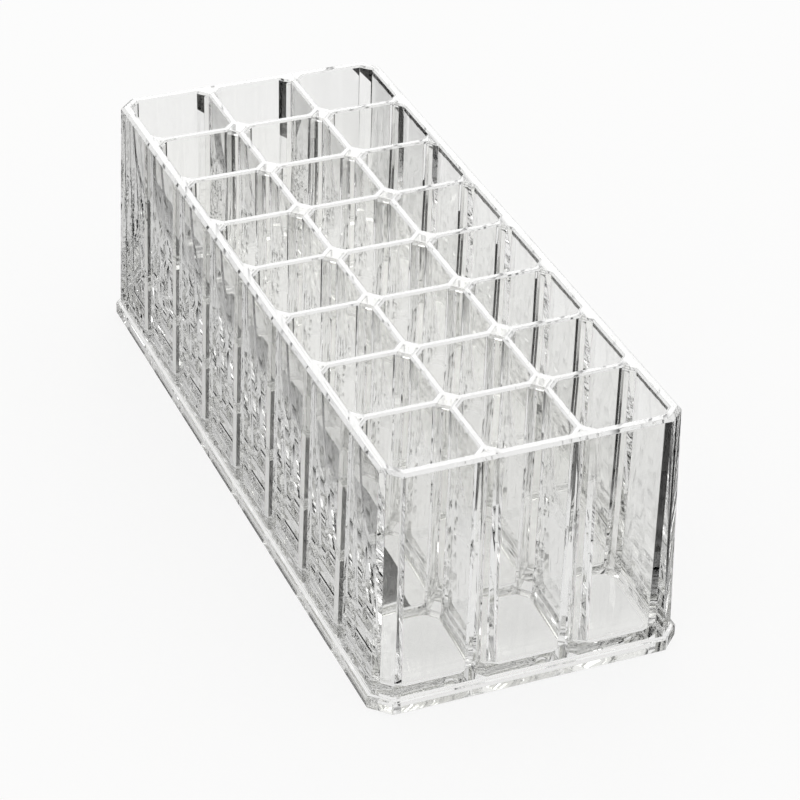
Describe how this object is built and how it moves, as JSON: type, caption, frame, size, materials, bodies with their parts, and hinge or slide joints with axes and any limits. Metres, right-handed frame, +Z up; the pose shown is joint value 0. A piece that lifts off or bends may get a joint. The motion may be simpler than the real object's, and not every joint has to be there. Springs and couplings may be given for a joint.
{
  "type": "vanity organizer",
  "caption": "Long clear plastic block of open square cells with slanted corners, hollow columns and a flanged foot, for standing lipsticks and small bottles upright.",
  "frame": {"origin": "on the table, at the centre of the foot", "axes": "+X across the width, +Y along the length away from the viewer, +Z up"},
  "size_m": [0.0906, 0.2256, 0.074],
  "materials": {
    "clear_polystyrene": "injection-moulded clear general-purpose polystyrene, polished tool faces, colourless and water clear"
  },
  "bodies": {
    "root": {"outer_wall": "clear_polystyrene", "cross_dividers": "clear_polystyrene", "lengthwise_dividers": "clear_polystyrene", "cell_floor": "clear_polystyrene", "foot_flange": "clear_polystyrene"}
  },
  "joints": []
}
